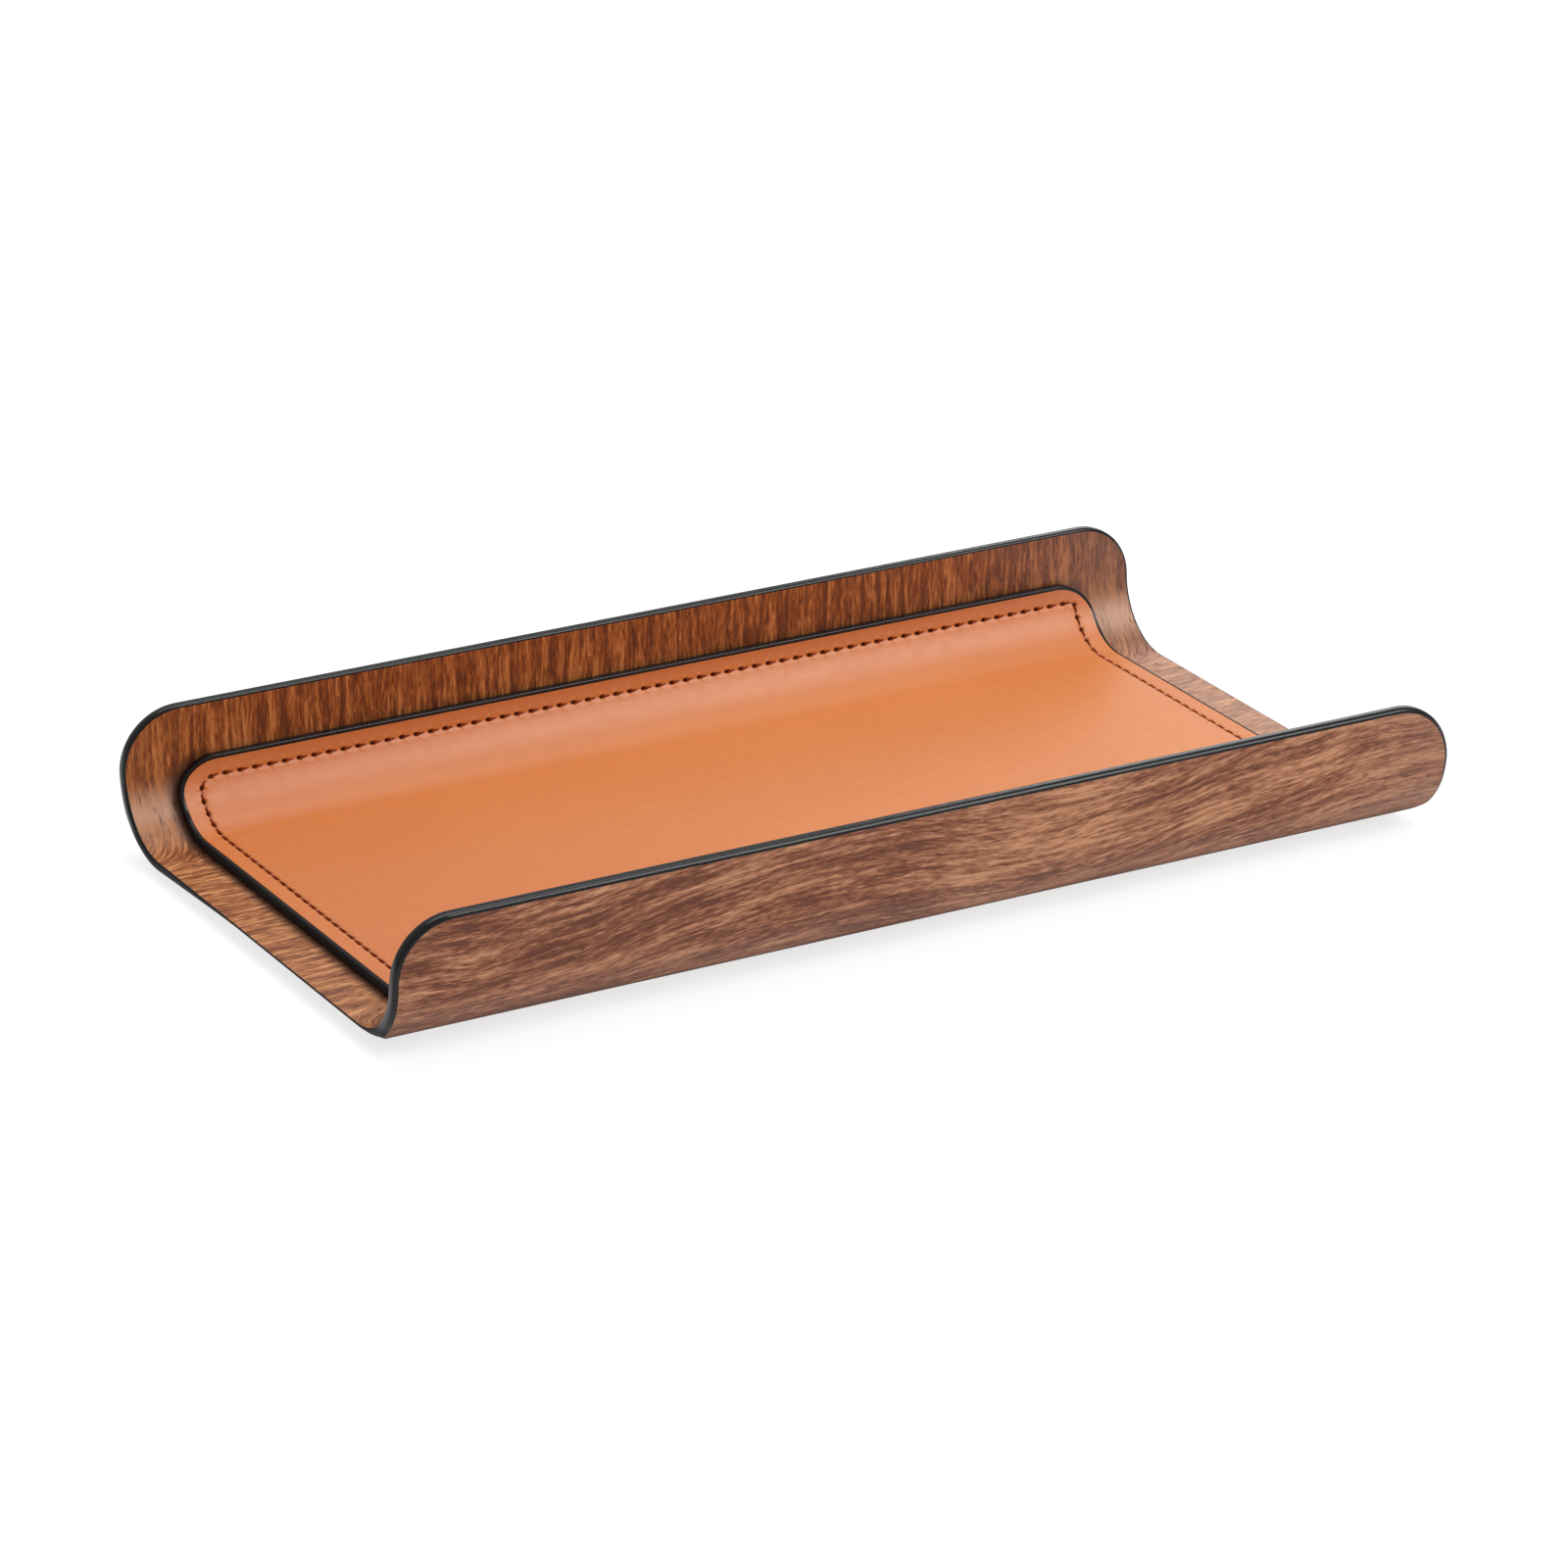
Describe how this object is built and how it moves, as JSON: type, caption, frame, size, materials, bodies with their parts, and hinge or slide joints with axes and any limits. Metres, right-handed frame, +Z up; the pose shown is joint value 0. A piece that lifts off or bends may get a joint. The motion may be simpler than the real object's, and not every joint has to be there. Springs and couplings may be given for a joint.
{
  "type": "storage tray",
  "caption": "Shallow rectangular desk tray: a bent wood-grain sheet with two upturned long sides, a rounded black edge and a stitched tan leather pad.",
  "frame": {"origin": "centre of the footprint, on the surface that the tray stands on", "axes": "+X along the tray's length, +Y towards the back side, +Z up"},
  "size_m": [0.3, 0.1544, 0.0375],
  "materials": {
    "board": "raw fibreboard, hidden between the skins",
    "inner_wood": "satin walnut grain",
    "outer_wood": "satin walnut grain",
    "black_edge": "glossy black edge paint",
    "adhesive_film": "hidden adhesive film",
    "fibre_board": "hidden stiffening board",
    "tan_leather": "smooth satin tan leather",
    "seam_thread": "dark brown sewing thread",
    "liner_cloth": "black non-slip cloth"
  },
  "bodies": {
    "root": {"shell_core": "board", "inner_wood_skin": "inner_wood", "outer_wood_skin": "outer_wood", "shell_edge": "black_edge", "pad_adhesive": "adhesive_film", "pad_board": "fibre_board", "pad_cover": "tan_leather", "pad_edge": "black_edge", "seam_thread": "seam_thread", "base_liner": "liner_cloth"}
  },
  "joints": []
}
